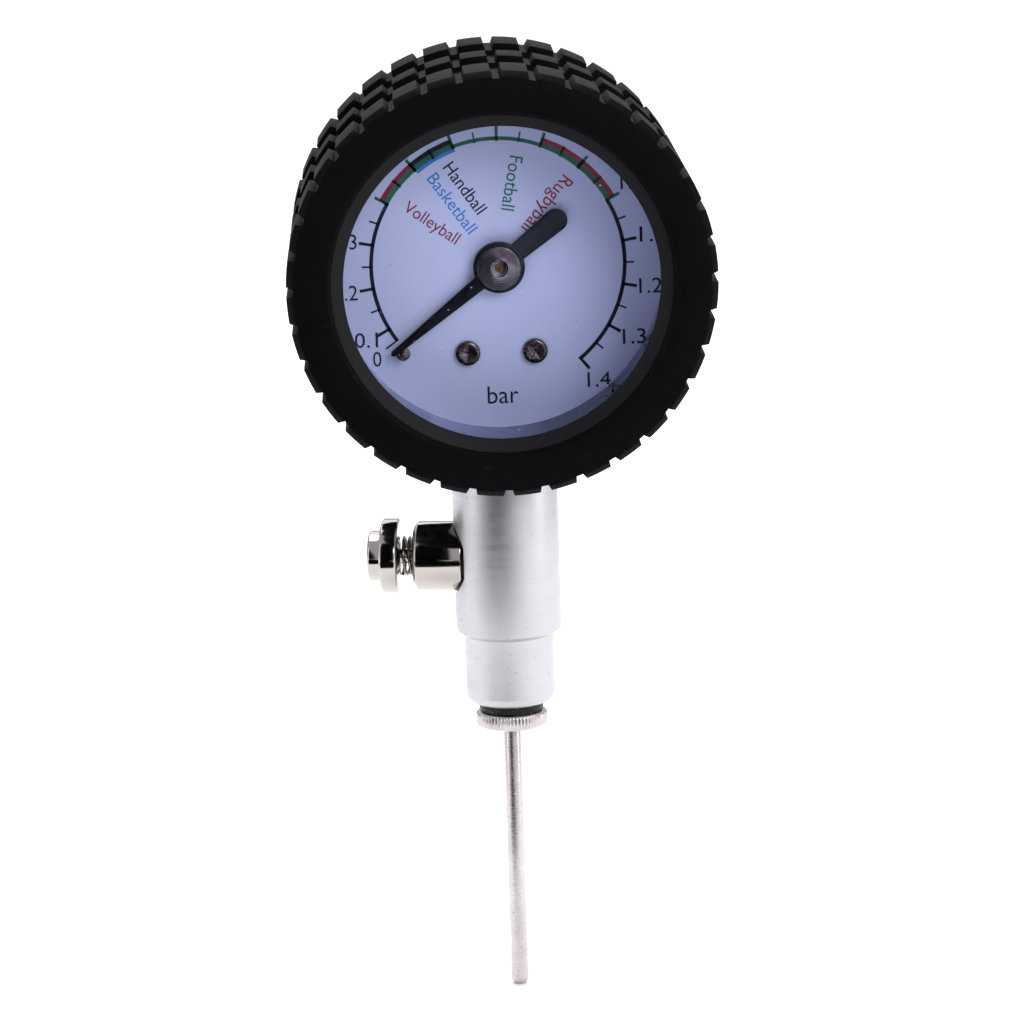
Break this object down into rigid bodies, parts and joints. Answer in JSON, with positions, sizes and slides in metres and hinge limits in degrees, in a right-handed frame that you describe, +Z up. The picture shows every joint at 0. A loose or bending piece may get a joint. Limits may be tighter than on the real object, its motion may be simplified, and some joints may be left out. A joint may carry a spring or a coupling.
{
  "type": "ball pressure gauge",
  "caption": "Round-dial pressure gauge for balls, with a rubber boot, a metal stem, a bleed button and a screw-in needle.",
  "frame": {"origin": "on the needle's axis at the underside of its knurled collar, where the ball's skin meets it", "axes": "+Z up the stem towards the dial with the needle along -Z; the dial faces -Y; +X is to the right of someone reading the dial, so the bleed button points to -X, turned 9 degrees towards +Y"},
  "size_m": [0.0558, 0.0367, 0.127],
  "materials": {
    "boot_rubber": "matte moulded rubber",
    "case_enamel": "black enamel on pressed steel",
    "bezel_plastic": "moulded charcoal plastic",
    "crystal_clear": "clear moulded polycarbonate",
    "seal_rubber": "black nitrile rubber",
    "dial_enamel": "printed white enamel",
    "screw_steel": "plated steel",
    "pointer_black": "satin black",
    "hub_nickel": "turned nickel",
    "movement_brass": "machined brass",
    "spring_bronze": "rolled phosphor bronze",
    "spring_steel": "drawn spring wire",
    "stem_aluminium": "satin turned aluminium",
    "valve_nickel": "polished nickel plate",
    "needle_nickel": "satin nickel plate"
  },
  "bodies": {
    "gauge": {"rubber_boot": "boot_rubber", "case_cup": "case_enamel", "bezel_ring": "bezel_plastic", "crystal": "crystal_clear", "crystal_gasket": "seal_rubber", "dial_plate": "dial_enamel", "dial_screws": "screw_steel", "stop_pin": "screw_steel", "hairspring": "spring_bronze", "hairspring_stud": "movement_brass", "movement_front_plate": "movement_brass", "movement_back_plate": "movement_brass", "movement_pillars": "movement_brass", "movement_screws": "screw_steel", "bourdon_tube": "spring_bronze", "socket": "movement_brass", "socket_gasket": "seal_rubber", "valve_body": "stem_aluminium", "valve_housing": "valve_nickel", "housing_gasket": "seal_rubber", "bleed_spring": "spring_steel"},
    "bleed_button": {"bleed_button": "valve_nickel", "valve_seal": "seal_rubber", "valve_nut": "movement_brass"},
    "pointer": {"pointer_blade": "pointer_black", "pointer_hub": "hub_nickel", "pinion_arbor": "movement_brass", "hairspring_collet": "movement_brass"},
    "sector": {"sector_gear": "movement_brass", "sector_arbor": "screw_steel", "tail_pin": "screw_steel"},
    "link": {"link": "movement_brass"},
    "tube_tip": {"bourdon_tip": "movement_brass", "tip_pin": "screw_steel"},
    "washer": {"needle_washer": "seal_rubber"},
    "needle": {"needle_head": "needle_nickel", "needle_tube": "needle_nickel"}
  },
  "joints": [
    {"name": "bleed_press", "type": "slide", "parent": "gauge", "child": "bleed_button", "axis": [0.9877, -0.1564, 0], "range_m": [0, 0.0016], "stiffness_N_per_m": 1200, "springref_m": -0.0015, "deforming": ["bleed_spring"]},
    {"name": "sector_turn", "type": "hinge", "parent": "gauge", "child": "sector", "pos_m": [0, -0.0011, 0.0523], "axis": [0, -1, 0], "range_deg": [0, 33.5], "stiffness_Nm_per_rad": 0.01, "springref_deg": -2.86},
    {"name": "pointer_turn", "type": "hinge", "parent": "gauge", "child": "pointer", "pos_m": [0, -0.0011, 0.0631], "axis": [0, 1, 0], "range_deg": [0, 268], "deforming": ["hairspring"]},
    {"name": "link_turn", "type": "hinge", "parent": "sector", "child": "link", "pos_m": [0.00138, -0.0011, 0.04646], "axis": [0, 1, 0], "range_deg": [0, 33.5]},
    {"name": "tip_slide", "type": "slide", "parent": "gauge", "child": "tube_tip", "axis": [0.866, 0, 0.5], "range_m": [0, 0.00346], "deforming": ["bourdon_tube"]},
    {"name": "needle_draw", "type": "slide", "parent": "gauge", "child": "washer", "axis": [0, 0, -1], "range_m": [0, 0.00317]},
    {"name": "needle_turn", "type": "hinge", "parent": "washer", "child": "needle", "pos_m": [0, 0, 0], "axis": [0, 0, -1], "range_deg": [0, 1440]}
  ],
  "couplings": [
    {"joint": "pointer_turn", "follows": "sector_turn", "ratio": 8},
    {"joint": "link_turn", "follows": "sector_turn", "ratio": 1},
    {"joint": "tip_slide", "follows": "sector_turn", "m_per_rad": 0.005915},
    {"joint": "needle_draw", "follows": "needle_turn", "m_per_rad": 0.00012633}
  ]
}
